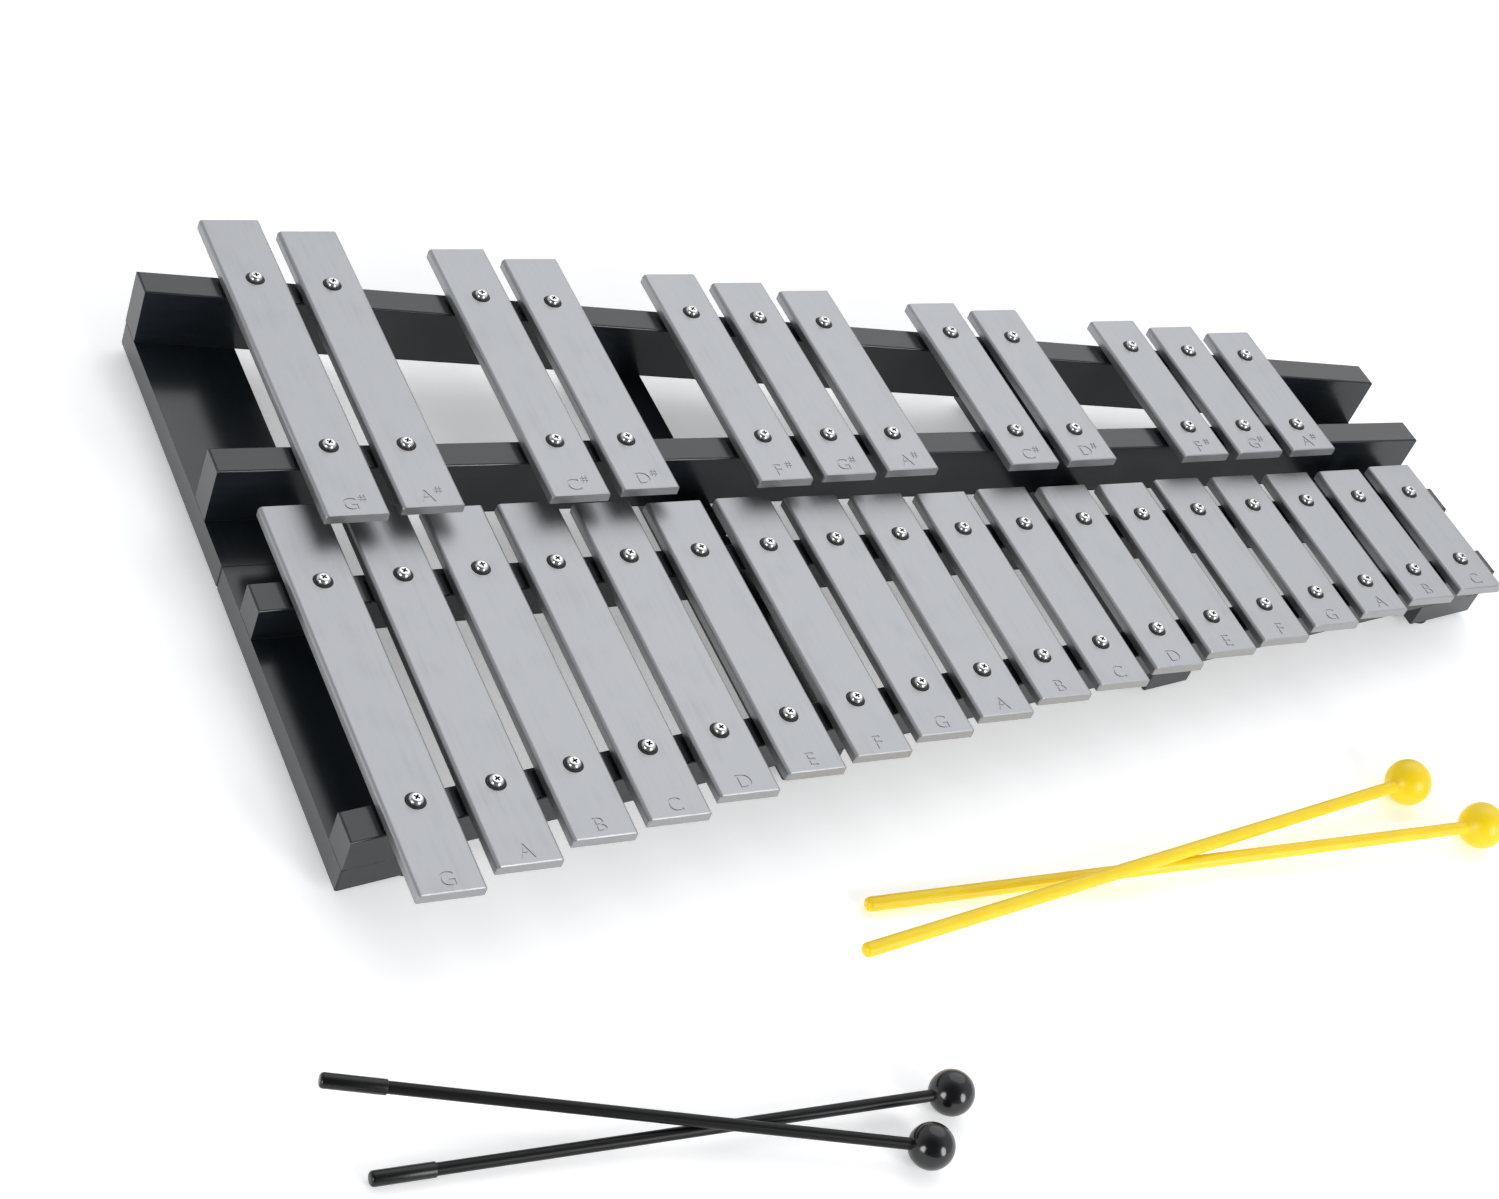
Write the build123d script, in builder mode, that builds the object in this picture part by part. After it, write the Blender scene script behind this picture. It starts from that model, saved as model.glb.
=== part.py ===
from build123d import *
import os
from math import asin, cos, degrees, radians, sin, sqrt

os.makedirs("parts", exist_ok=True)

# Folding 30-note glockenspiel with two pairs of mallets. Lengths are in millimetres, +Z is up,
# +X runs from the low notes to the high ones and +Y from the naturals to the sharps.
# The origin is on the table, under the middle of the laid-out set.

# ---- notes, in semitones above the lowest bar, a G ----
natural_notes = (0, 2, 4, 5, 7, 9, 10, 12, 14, 16, 17, 19, 21, 22, 24, 26, 28, 29)
sharp_notes = (1, 3, 6, 8, 11, 13, 15, 18, 20, 23, 25, 27)
sharp_slots = (0, 1, 3, 4, 6, 7, 8, 10, 11, 13, 14, 15)   # the natural to the left of each sharp
note_names = ("c", "c_sharp", "d", "d_sharp", "e", "f",
              "f_sharp", "g", "g_sharp", "a", "a_sharp", "b")
lowest_note = 7                  # G, counted from C
lowest_octave = 5
notes_per_octave = 12
length_halving = 24              # a bar two octaves higher is half as long

# ---- bars ----
bar_width = 25.0
bar_thickness = 4.5
bar_edge = 0.6                   # chamfer round the top face
longest_natural = 182.0
sharp_length_share = 0.955       # sharps are cut a little shorter than the naturals' scale
natural_pitch = 31.0
sharp_pitch_less = 0.35          # sharps stand this much closer than the naturals
first_sharp_offset = 2.7         # first sharp's middle beyond the middle of the gap below it
naturals_first_reach = 81.2      # bar middle from the seam at the first and the last natural
naturals_last_reach = 40.4
sharps_first_reach = 76.8
sharps_last_reach = 41.0
naturals_first_node = 0.215      # a rail's place under the first and last bar, as a share of its length
naturals_last_node = 0.227
sharps_first_node = 0.216
sharps_last_node = 0.205

# ---- grommets and bar screws ----
fit_gap = 0.05                   # radial gap of pieces that are pushed together
bar_hole_radius = 3.6
grommet_flange_radius = 5.0
grommet_flange = 1.2             # holds the bar off its rail
grommet_lip = 0.2                # stands above the bar
screw_shank_radius = 1.5
screw_head_radius = 2.65
screw_head_height = 1.9
screw_head_side = 0.8            # straight part of the head under its dome
bar_screw_grip = 10.0            # length in the rail
screw_tip = 1.5

# ---- frame ----
frame_overhang_low = 25.0        # frame end beyond the first natural's middle
frame_overhang_high = 22.0
end_plank_width = 39.4
batten_width = 25.0
batten_slots = (5, 11)           # the natural to the left of each batten
batten_shifts = (3.0, 2.0)       # a batten's middle beyond the middle of the gap after that natural
plank_thickness = 10.5
natural_rail_height = 14.6
sharp_rail_height = 25.3
natural_rail_width = 14.0
sharp_rail_width = 12.6
wood_edge = 0.8
seam_gap = 0.3
wood_screw_head_radius = 3.2
wood_screw_head_height = 1.7
wood_screw_grip = 9.0            # length in the rail
station_share = 0.27             # lines across an end plank for feet and screws, from its long edges

# ---- feet and hinges ----
foot_height = 3.5
foot_radius = 6.0
foot_edge = 0.7
inner_foot_line = 24.0           # from the seam
fold_gap = 0.3                   # left between a foot and the other half when folded
hinge_length = 30.0
hinge_reach = 12.0
leaf_thickness = 1.0
knuckle_radius = 1.4
knuckle_gap = 0.3
middle_knuckle = 11.4
pin_radius = 0.7
pin_run = 0.05                   # radial running clearance
pin_press = 0.01
leaf_relief = 0.5                # a leaf's edge from the other leaf's knuckles
leaf_screw_spacing = 17.0
leaf_screw_line = 7.0
leaf_screw_radius = 1.0
leaf_screw_head_radius = 1.9
leaf_screw_length = 9.0

# ---- mallets: head middle from the first natural's front end, heading from handle to head ----
black_length = 208.0             # handle end to the middle of the head
black_head_radius = 8.15
black_rod_radius = 2.1
grip_radius = 2.6
grip_length = 21.5
grip_end_wall = 2.0
grip_edge = 0.9
grip_mouth_edge = 0.3
head_bore_depth = 7.0
black_lower_place = (159.3, -91.7)
black_lower_heading = -3.0
black_upper_place = (141.6, -110.2)
black_upper_heading = -17.0
yellow_length = 294.0
yellow_head_radius = 9.65
yellow_handle_radius = 2.8
yellow_neck_radius = 2.6
yellow_neck_fillet = 1.5
yellow_end_share = 0.8           # rounding of the handle end, as a share of its radius
yellow_lower_place = (462.3, -15.7)
yellow_lower_heading = -1.8
yellow_upper_place = (440.5, 10.9)
yellow_upper_heading = 8.7
table_gap = 0.05                 # under a handle end
crossing_gap = 0.3
slope_rounds = 3                 # passes that settle an upper mallet's slope

# ---- places that follow ----
natural_span = natural_pitch * (len(natural_notes) - 1)
sharp_pitch = natural_pitch - sharp_pitch_less
first_sharp_shift = natural_pitch / 2 + first_sharp_offset
sharp_span = sharp_pitch * sharp_slots[-1]
outer_station = station_share * end_plank_width
inner_station = end_plank_width - outer_station
frame_length = frame_overhang_low + natural_span + frame_overhang_high
front_of_naturals = naturals_first_reach + longest_natural / 2
first_sharp_length = longest_natural * sharp_length_share * 2 ** (-sharp_notes[0] / length_halving)

upper_turn = radians(black_upper_heading)
set_low = black_upper_place[0] - black_length * cos(upper_turn)
set_high = natural_span + frame_overhang_high
set_front = -front_of_naturals + black_upper_place[1] - black_head_radius
set_rear = sharps_first_reach + first_sharp_length / 2
first_x = -(set_low + set_high) / 2
seam_y = -(set_front + set_rear) / 2
frame_low = first_x - frame_overhang_low
frame_high = frame_low + frame_length
mallet_y = seam_y - front_of_naturals

plank_bottom = foot_height
plank_top = plank_bottom + plank_thickness
natural_rail_top = plank_top + natural_rail_height
sharp_rail_top = plank_top + sharp_rail_height
hinge_z = plank_bottom - (foot_height + fold_gap) / 2


def bar_length(note, share=1.0):
    """Free-free bars of one thickness get shorter with the square root of the pitch."""
    return share * longest_natural * 2 ** (-note / length_halving)


def note_label(note):
    """Node name of the bar that sounds this many semitones above the lowest one."""
    step = lowest_note + note
    return f"bar_{note_names[step % notes_per_octave]}{lowest_octave + step // notes_per_octave}"


class RailPair:
    """Middle lines of one half's two rails, straight from the first bar's nodes to the last's."""

    def __init__(self, side, x_first, span, reaches, nodes, lengths):
        self.side = side
        self.x_first = x_first
        self.span = span
        self.reaches = reaches
        self.spreads = [length * (1 - 2 * node) / 2 for length, node in zip(lengths, nodes)]

    def along(self, x, ends):
        share = (x - self.x_first) / self.span
        return ends[0] + (ends[1] - ends[0]) * share

    def middle(self, x):
        return seam_y + self.side * self.along(x, self.reaches)

    def spread(self, x):
        return self.along(x, self.spreads)

    def inner(self, x):
        return self.middle(x) - self.side * self.spread(x)

    def outer(self, x):
        return self.middle(x) + self.side * self.spread(x)


naturals = RailPair(
    -1, first_x, natural_span,
    (naturals_first_reach, naturals_last_reach),
    (naturals_first_node, naturals_last_node),
    (bar_length(natural_notes[0]), bar_length(natural_notes[-1])),
)
sharps = RailPair(
    1, first_x + first_sharp_shift, sharp_span,
    (sharps_first_reach, sharps_last_reach),
    (sharps_first_node, sharps_last_node),
    (bar_length(sharp_notes[0], sharp_length_share), bar_length(sharp_notes[-1], sharp_length_share)),
)
natural_xs = [first_x + natural_pitch * slot for slot in range(len(natural_notes))]
sharp_xs = [first_x + first_sharp_shift + sharp_pitch * slot for slot in sharp_slots]

end_plank_lows = (frame_low, frame_high - end_plank_width)
batten_xs = tuple(
    first_x + natural_pitch * (slot + 0.5) + shift for slot, shift in zip(batten_slots, batten_shifts)
)
batten_lows = tuple(x - batten_width / 2 for x in batten_xs)
outer_station_xs = (frame_low + outer_station, frame_high - outer_station)
inner_station_xs = (frame_low + inner_station, frame_high - inner_station)
hinge_xs = tuple(low + end_plank_width / 2 for low in end_plank_lows)


def both_rails(pair, xs):
    """The points of both rails' middle lines at these places along the frame."""
    return [(x, line(x)) for x in xs for line in (pair.inner, pair.outer)]


def along_x(length, radius, mode=Mode.ADD):
    """A cylinder lying along the seam."""
    Cylinder(radius, length, rotation=(0, 90, 0), mode=mode)


# ---- bars: flat aluminium, chamfered on top, with a grommet hole over each rail ----
def make_bar(note, x, pair, share, rail_top):
    length = bar_length(note, share)
    top = rail_top + grommet_flange + bar_thickness
    with BuildPart(Plane((x, pair.middle(x), top))) as bar:
        Box(bar_width, length, bar_thickness, align=(Align.CENTER, Align.CENTER, Align.MAX))
        chamfer(bar.faces().sort_by(Axis.Z)[-1].edges(), bar_edge)
        with Locations((0, -pair.spread(x)), (0, pair.spread(x))):
            Hole(bar_hole_radius)
    bar.part.label = note_label(note)
    export_step(bar.part, f"parts/{bar.part.label}.step")


for note, x in zip(natural_notes, natural_xs):
    make_bar(note, x, naturals, 1.0, natural_rail_top)
for note, x in zip(sharp_notes, sharp_xs):
    make_bar(note, x, sharps, sharp_length_share, sharp_rail_top)


# ---- grommet: rubber sleeve through the bar on a flange between bar and rail ----
with BuildPart() as grommet:
    Cylinder(grommet_flange_radius, grommet_flange, align=(Align.CENTER, Align.CENTER, Align.MIN))
    Cylinder(
        bar_hole_radius - fit_gap,
        grommet_flange + bar_thickness + grommet_lip,
        align=(Align.CENTER, Align.CENTER, Align.MIN),
    )
    Hole(screw_shank_radius + fit_gap)

# ---- bar screw: pan head on the grommet, shank down into the rail; its zero is the rail's top ----
head_seat = grommet_flange + bar_thickness + grommet_lip
dome_rise = screw_head_height - screw_head_side
dome_radius = (screw_head_radius ** 2 + dome_rise ** 2) / (2 * dome_rise)
dome_angle = degrees(asin(screw_head_radius / dome_radius))
with BuildPart() as bar_screw:
    with BuildSketch(Plane.XZ):
        with BuildLine():
            Polyline(
                (0, -bar_screw_grip),
                (screw_shank_radius, screw_tip - bar_screw_grip),
                (screw_shank_radius, head_seat),
                (screw_head_radius, head_seat),
                (screw_head_radius, head_seat + screw_head_side),
            )
            CenterArc((0, head_seat + screw_head_height - dome_radius), dome_radius, 90 - dome_angle, dome_angle)
            Line((0, head_seat + screw_head_height), (0, -bar_screw_grip))
        make_face()
    revolve(axis=Axis.Z)

# ---- wood screw: countersunk under a plank, up into the rail; its zero is the plank's underside ----
with BuildPart() as wood_screw:
    with BuildSketch(Plane.XZ):
        with BuildLine():
            Polyline(
                (0, 0),
                (wood_screw_head_radius, 0),
                (screw_shank_radius, wood_screw_head_height),
                (screw_shank_radius, plank_thickness + wood_screw_grip - screw_tip),
                (0, plank_thickness + wood_screw_grip),
                close=True,
            )
        make_face()
    revolve(axis=Axis.Z)

# ---- leaf screw: countersunk in a hinge leaf, up into the plank; its zero is the leaf's underside ----
leaf_screw_head = leaf_screw_head_radius - leaf_screw_radius
with BuildPart() as leaf_screw:
    with BuildSketch(Plane.XZ):
        with BuildLine():
            Polyline(
                (0, 0),
                (leaf_screw_head_radius, 0),
                (leaf_screw_radius, leaf_screw_head),
                (leaf_screw_radius, leaf_screw_length - screw_tip),
                (0, leaf_screw_length),
                close=True,
            )
        make_face()
    revolve(axis=Axis.Z)


def cut_screw_holes(points, z, radius, depth, head_radius=0.0, head_height=0.0):
    """Holes going up from z, countersunk where a head radius is given."""
    with Locations(*[(x, y, z) for x, y in points]):
        Cylinder(
            radius + fit_gap, depth,
            align=(Align.CENTER, Align.CENTER, Align.MIN), mode=Mode.SUBTRACT,
        )
        if head_radius:
            Cone(
                head_radius + fit_gap, radius + fit_gap, head_height,
                align=(Align.CENTER, Align.CENTER, Align.MIN), mode=Mode.SUBTRACT,
            )


# ---- rails: painted hardwood strips standing on the planks ----
def make_rail(label, line, width, height, bar_xs, station_xs):
    with BuildPart() as rail:
        with BuildSketch(Plane.XY.offset(plank_top)):
            with BuildLine():
                Polyline(
                    (frame_low, line(frame_low) - width / 2),
                    (frame_high, line(frame_high) - width / 2),
                    (frame_high, line(frame_high) + width / 2),
                    (frame_low, line(frame_low) + width / 2),
                    close=True,
                )
            make_face()
        extrude(amount=height)
        fillet(rail.faces().sort_by(Axis.Z)[-1].edges(), wood_edge)
        bar_hole = bar_screw_grip + fit_gap
        cut_screw_holes(
            [(x, line(x)) for x in bar_xs], plank_top + height - bar_hole, screw_shank_radius, bar_hole,
        )
        cut_screw_holes(
            [(x, line(x)) for x in station_xs], plank_top, screw_shank_radius, wood_screw_grip + fit_gap,
        )
    rail.part.label = label
    export_step(rail.part, f"parts/{label}.step")


natural_screw_xs = outer_station_xs + batten_xs
sharp_screw_xs = inner_station_xs + batten_xs
for label, line in (("naturals_inner_rail", naturals.inner), ("naturals_outer_rail", naturals.outer)):
    make_rail(label, line, natural_rail_width, natural_rail_height, natural_xs, natural_screw_xs)
for label, line in (("sharps_inner_rail", sharps.inner), ("sharps_outer_rail", sharps.outer)):
    make_rail(label, line, sharp_rail_width, sharp_rail_height, sharp_xs, sharp_screw_xs)


# ---- planks: cross pieces from the seam to the outer rail's far face ----
def plank_corners(pair, low, width, rail_width):
    """Corners of a plank whose far end is cut along the outer rail's far face."""
    near = seam_y + pair.side * seam_gap / 2
    far = pair.side * rail_width / 2
    return [
        (low, near),
        (low + width, near),
        (low + width, pair.outer(low + width) + far),
        (low, pair.outer(low) + far),
    ]


def leaf_screw_points(side, xs):
    """The two screws of one leaf of each hinge."""
    offsets = (-leaf_screw_spacing / 2, leaf_screw_spacing / 2)
    return [(x + dx, seam_y + side * leaf_screw_line) for x in xs for dx in offsets]


def make_planks(label, pair, lows, width, rail_width, screw_xs, leaf_xs):
    with BuildPart() as planks:
        for low in lows:
            with BuildSketch(Plane.XY.offset(plank_bottom)):
                with BuildLine():
                    Polyline(*plank_corners(pair, low, width, rail_width), close=True)
                make_face()
            extrude(amount=plank_thickness)
        fillet(planks.edges().filter_by(Axis.Z), wood_edge)
        cut_screw_holes(
            both_rails(pair, screw_xs), plank_bottom, screw_shank_radius, plank_thickness,
            wood_screw_head_radius, wood_screw_head_height,
        )
        if leaf_xs:
            cut_screw_holes(
                leaf_screw_points(pair.side, leaf_xs), plank_bottom, leaf_screw_radius,
                leaf_screw_length - leaf_thickness + fit_gap,
            )
    planks.part.label = label
    export_step(planks.part, f"parts/{label}.step")


for half, pair, rail_width, station_xs in (
    ("naturals", naturals, natural_rail_width, outer_station_xs),
    ("sharps", sharps, sharp_rail_width, inner_station_xs),
):
    for end, low, station_x, hinge_x in zip(("low", "high"), end_plank_lows, station_xs, hinge_xs):
        make_planks(
            f"{half}_{end}_plank", pair, [low], end_plank_width, rail_width, [station_x], [hinge_x],
        )
    make_planks(f"{half}_battens", pair, batten_lows, batten_width, rail_width, batten_xs, [])


# ---- loose groups: copies of one piece at a list of places ----
def make_group(label, *kinds):
    with BuildPart() as group:
        for piece, places in kinds:
            with Locations(*places):
                add(piece)
    group.part.label = label
    export_step(group.part, f"parts/{label}.step")


def at_height(points, z):
    return [(x, y, z) for x, y in points]


with BuildPart() as foot:
    Cylinder(foot_radius, foot_height, align=(Align.CENTER, Align.CENTER, Align.MIN))
    fillet(foot.faces().sort_by(Axis.Z)[0].edges(), foot_edge)

leaf_bottom = plank_bottom - leaf_thickness
for half, pair, bar_xs, rail_top, screw_xs, foot_xs in (
    ("naturals", naturals, natural_xs, natural_rail_top, natural_screw_xs, inner_station_xs),
    ("sharps", sharps, sharp_xs, sharp_rail_top, sharp_screw_xs, outer_station_xs),
):
    bar_points = at_height(both_rails(pair, bar_xs), rail_top)
    make_group(f"{half}_grommets", (grommet.part, bar_points))
    make_group(f"{half}_bar_screws", (bar_screw.part, bar_points))
    make_group(
        f"{half}_wood_screws",
        (wood_screw.part, at_height(both_rails(pair, screw_xs), plank_bottom)),
        (leaf_screw.part, at_height(leaf_screw_points(pair.side, hinge_xs), leaf_bottom)),
    )
    foot_points = [(x, pair.outer(x)) for x in foot_xs]
    foot_points += [(x, seam_y + pair.side * inner_foot_line) for x in foot_xs]
    make_group(f"{half}_feet", (foot.part, at_height(foot_points, 0)))


# ---- hinges: two butt hinges under the seam, leaves on the planks' undersides ----
outer_knuckle = (hinge_length - middle_knuckle) / 2 - knuckle_gap
outer_knuckle_middle = (hinge_length - outer_knuckle) / 2
outer_knuckles = [(-outer_knuckle_middle, outer_knuckle), (outer_knuckle_middle, outer_knuckle)]
middle_knuckles = [(0, middle_knuckle)]
web_depth = plank_bottom - hinge_z


def make_leaf(side, own, other, bore_radius):
    """One leaf about the pin's middle: a plate, its knuckles and the webs that join them."""
    plate_align = (Align.CENTER, Align.MAX if side < 0 else Align.MIN, Align.MAX)
    with BuildPart(Plane((0, 0, web_depth))) as leaf:
        Box(hinge_length, hinge_reach, leaf_thickness, align=plate_align)
        for x, length in other:
            with Locations((x, 0, 0)):
                Box(
                    length + 2 * knuckle_gap, knuckle_radius + leaf_relief, leaf_thickness,
                    align=plate_align, mode=Mode.SUBTRACT,
                )
        for x, length in own:
            with Locations((x, 0, 0)):
                Box(length, knuckle_radius, web_depth, align=plate_align)
            with Locations((x, 0, -web_depth)):
                along_x(length, knuckle_radius)
        with Locations((0, 0, -web_depth)):
            along_x(hinge_length, bore_radius, Mode.SUBTRACT)
        for dx in (-leaf_screw_spacing / 2, leaf_screw_spacing / 2):
            with Locations((dx, side * leaf_screw_line, -leaf_thickness)):
                Cone(
                    leaf_screw_head_radius + fit_gap, leaf_screw_radius + fit_gap, leaf_thickness,
                    align=(Align.CENTER, Align.CENTER, Align.MIN), mode=Mode.SUBTRACT,
                )
    return leaf.part


fixed_leaf = make_leaf(-1, outer_knuckles, middle_knuckles, pin_radius + pin_press)
moving_leaf = make_leaf(1, middle_knuckles, outer_knuckles, pin_radius + pin_run)
with BuildPart() as hinge_pin:
    along_x(hinge_length, pin_radius)

hinge_places = [(x, seam_y, hinge_z) for x in hinge_xs]
make_group("naturals_hinge_leaves", (fixed_leaf, hinge_places))
make_group("sharps_hinge_leaves", (moving_leaf, hinge_places))
make_group("hinge_pins", (hinge_pin.part, hinge_places))


# ---- mallets: each pair lies crossed on the table, the upper one resting on the lower ----
class Lay:
    """Where one mallet lies: its handle end and its head's middle."""

    def __init__(self, place, heading, length, head_radius, handle_z):
        turn = radians(heading)
        self.head = Vector(first_x + place[0], mallet_y + place[1], head_radius)
        self.rise = head_radius - handle_z
        self.run = sqrt(length ** 2 - self.rise ** 2)
        self.handle = Vector(
            self.head.X - self.run * cos(turn), self.head.Y - self.run * sin(turn), handle_z,
        )
        self.length = length

    def plane(self):
        """X along the mallet from its handle end, Y up."""
        way = self.head - self.handle
        return Plane(self.handle, x_dir=way, z_dir=Vector(way.Y, -way.X, 0))

    def axis(self):
        return Axis(self.handle, self.head - self.handle)

    def crossing(self, other):
        """Shares of this mallet and of the other from handle to head, where they cross in plan."""
        way = self.head - self.handle
        other_way = other.head - other.handle
        apart = other.handle - self.handle
        turn = way.X * other_way.Y - way.Y * other_way.X
        own_share = (apart.X * other_way.Y - apart.Y * other_way.X) / turn
        other_share = (apart.X * way.Y - apart.Y * way.X) / turn
        return own_share, other_share


def upper_lay(lower, place, heading, length, head_radius, rod_radius):
    """A mallet whose head is on the table and whose rod rests on the lower mallet's rod."""
    handle_z = head_radius
    for _ in range(slope_rounds):
        upper = Lay(place, heading, length, head_radius, handle_z)
        own_share, lower_share = upper.crossing(lower)
        lower_z = lower.handle.Z + (lower.head.Z - lower.handle.Z) * lower_share
        crossing_z = lower_z + 2 * rod_radius + crossing_gap
        handle_z = head_radius + (crossing_z - head_radius) / (1 - own_share)
    return Lay(place, heading, length, head_radius, handle_z)


black_lower = Lay(
    black_lower_place, black_lower_heading, black_length, black_head_radius, grip_radius + table_gap,
)
black_upper = upper_lay(
    black_lower, black_upper_place, black_upper_heading, black_length, black_head_radius,
    black_rod_radius,
)
yellow_lower = Lay(
    yellow_lower_place, yellow_lower_heading, yellow_length, yellow_head_radius,
    yellow_handle_radius + table_gap,
)
yellow_upper = upper_lay(
    yellow_lower, yellow_upper_place, yellow_upper_heading, yellow_length, yellow_head_radius,
    yellow_handle_radius,
)


def make_black_mallet(label, lay):
    """A rod with a rubber grip pushed on one end and a ball on the other."""
    bore_radius = black_rod_radius + fit_gap
    bore_end = black_length - black_head_radius + head_bore_depth
    with BuildPart() as rod:
        with BuildSketch(lay.plane()):
            with BuildLine():
                Polyline(
                    (grip_end_wall + fit_gap, 0),
                    (grip_end_wall + fit_gap, black_rod_radius),
                    (bore_end - fit_gap, black_rod_radius),
                    (bore_end - fit_gap, 0),
                    close=True,
                )
            make_face()
        revolve(axis=lay.axis())
    rod.part.label = f"{label}_rod"
    export_step(rod.part, f"parts/{label}_rod.step")

    with BuildPart() as grip:
        with BuildSketch(lay.plane()):
            with BuildLine():
                Line((0, 0), (0, grip_radius - grip_edge))
                RadiusArc((0, grip_radius - grip_edge), (grip_edge, grip_radius), grip_edge)
                Polyline(
                    (grip_edge, grip_radius),
                    (grip_length - grip_mouth_edge, grip_radius),
                    (grip_length, grip_radius - grip_mouth_edge),
                    (grip_length, bore_radius),
                    (grip_end_wall, bore_radius),
                    (grip_end_wall, 0),
                    (0, 0),
                )
            make_face()
        revolve(axis=lay.axis())
    grip.part.label = f"{label}_grip"
    export_step(grip.part, f"parts/{label}_grip.step")

    near = black_length - sqrt(black_head_radius ** 2 - bore_radius ** 2)
    with BuildPart() as head:
        with BuildSketch(lay.plane()):
            with BuildLine():
                ThreePointArc(
                    (near, bore_radius),
                    (black_length, black_head_radius),
                    (black_length + black_head_radius, 0),
                )
                Polyline(
                    (black_length + black_head_radius, 0),
                    (bore_end, 0),
                    (bore_end, bore_radius),
                    (near, bore_radius),
                )
            make_face()
        revolve(axis=lay.axis())
    head.part.label = f"{label}_head"
    export_step(head.part, f"parts/{label}_head.step")


def make_yellow_mallet(label, lay):
    """A shaft and ball moulded as one piece, the shaft slightly tapered."""
    end = yellow_handle_radius * yellow_end_share
    neck = yellow_length - sqrt(yellow_head_radius ** 2 - yellow_neck_radius ** 2)
    with BuildPart() as mallet:
        with BuildSketch(lay.plane()) as profile:
            with BuildLine():
                Line((0, 0), (0, yellow_handle_radius - end))
                RadiusArc((0, yellow_handle_radius - end), (end, yellow_handle_radius), end)
                Line((end, yellow_handle_radius), (neck, yellow_neck_radius))
                ThreePointArc(
                    (neck, yellow_neck_radius),
                    (yellow_length, yellow_head_radius),
                    (yellow_length + yellow_head_radius, 0),
                )
                Line((yellow_length + yellow_head_radius, 0), (0, 0))
            make_face()
            corner = profile.vertices().sort_by_distance((neck, yellow_neck_radius, 0))[0]
            fillet(corner, yellow_neck_fillet)
        revolve(axis=lay.axis())
    mallet.part.label = label
    export_step(mallet.part, f"parts/{label}.step")


make_black_mallet("black_lower_mallet", black_lower)
make_black_mallet("black_upper_mallet", black_upper)
make_yellow_mallet("yellow_lower_mallet", yellow_lower)
make_yellow_mallet("yellow_upper_mallet", yellow_upper)
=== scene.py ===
import bpy
import math
import random
from mathutils import Euler, Matrix, Vector


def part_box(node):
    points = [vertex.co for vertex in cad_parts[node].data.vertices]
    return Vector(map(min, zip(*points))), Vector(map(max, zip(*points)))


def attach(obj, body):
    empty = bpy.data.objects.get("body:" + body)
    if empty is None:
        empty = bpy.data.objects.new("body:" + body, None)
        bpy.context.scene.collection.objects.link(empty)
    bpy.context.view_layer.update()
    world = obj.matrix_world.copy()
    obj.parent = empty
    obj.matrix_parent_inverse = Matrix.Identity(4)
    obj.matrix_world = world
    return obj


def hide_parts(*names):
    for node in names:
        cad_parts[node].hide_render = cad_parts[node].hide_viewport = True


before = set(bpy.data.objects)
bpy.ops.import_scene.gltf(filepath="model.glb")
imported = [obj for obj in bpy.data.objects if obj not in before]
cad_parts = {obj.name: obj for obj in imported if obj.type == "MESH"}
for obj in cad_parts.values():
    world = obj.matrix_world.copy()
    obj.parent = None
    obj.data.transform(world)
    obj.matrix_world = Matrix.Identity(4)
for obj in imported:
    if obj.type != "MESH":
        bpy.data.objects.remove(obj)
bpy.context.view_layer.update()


# ---- camera ----
# A short tele lens, standing left of the low bars and tipped to its left, so the bars run up the
# picture and the high end falls away to the right.
camera_data = bpy.data.cameras.new("camera")
camera_data.lens = 65.49
camera_data.sensor_width = 36.0
camera = bpy.data.objects.new("camera", camera_data)
camera.location = (-0.59787, -0.59525, 0.70188)
camera.rotation_euler = Euler([math.radians(turn) for turn in (47.377, -18.426, -24.228)])
bpy.context.scene.collection.objects.link(camera)
bpy.context.scene.camera = camera


# ---- note bars ----
# Thirty bars sawn from flat aluminium with rolled, rounded edges, tuned by their length, drilled over
# the rails and stamped with their note. They are blasted with fine beads, so they are matt all over.
MM = 0.001
BAR_EDGE_ROUND = 1.5 * MM
BAR_END_ARRIS = 0.35 * MM
BAR_UNDER_ARRIS = 0.3 * MM
BLANK_LENGTH = 100 * MM
HOLE_RADIUS = 3.6 * MM
HOLE_CHAMFER = 0.25 * MM
HOLE_SEGMENTS = 48
EDGE_SEGMENTS = 6
UNDER_SEGMENTS = 2
STAMP_DEPTH = 0.22 * MM
LETTER_HEIGHT = 6.6 * MM
LETTER_FROM_FRONT = 5.4 * MM
CAPITAL_SHARE = 0.73             # height of a capital, as a share of the type size
LETTER_LEFT = 0.5 * MM
SHARP_LETTER_LEFT = 1.6 * MM
SIGN_RIGHT = 5.4 * MM
SIGN_UP = 2.6 * MM
SHARP_SIGN_SIZE = 0.58
SMOOTH_BELOW = math.radians(32)
NEARLY = 0.01 * MM               # closer than this counts as the same place


def linear(colour):
    """An sRGB hex colour as linear RGBA."""
    parts = [int(colour[i:i + 2], 16) / 255 for i in (1, 3, 5)]
    return [c / 12.92 if c <= 0.04045 else ((c + 0.055) / 1.055) ** 2.4 for c in parts] + [1.0]


def add_node(material, kind, inputs=None, **settings):
    """Adds a node: settings go on the node, and each input takes a value or another node's output."""
    made = material.node_tree.nodes.new(kind)
    for name, value in settings.items():
        setattr(made, name, value)
    for name, value in (inputs or {}).items():
        if isinstance(value, bpy.types.NodeSocket):
            material.node_tree.links.new(value, made.inputs[name])
        else:
            made.inputs[name].default_value = value
    return made


def only(piece):
    """Leaves one object selected and active, in object mode."""
    if bpy.context.object and bpy.context.object.mode != "OBJECT":
        bpy.ops.object.mode_set(mode="OBJECT")
    bpy.ops.object.select_all(action="DESELECT")
    piece.select_set(True)
    bpy.context.view_layer.objects.active = piece


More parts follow.
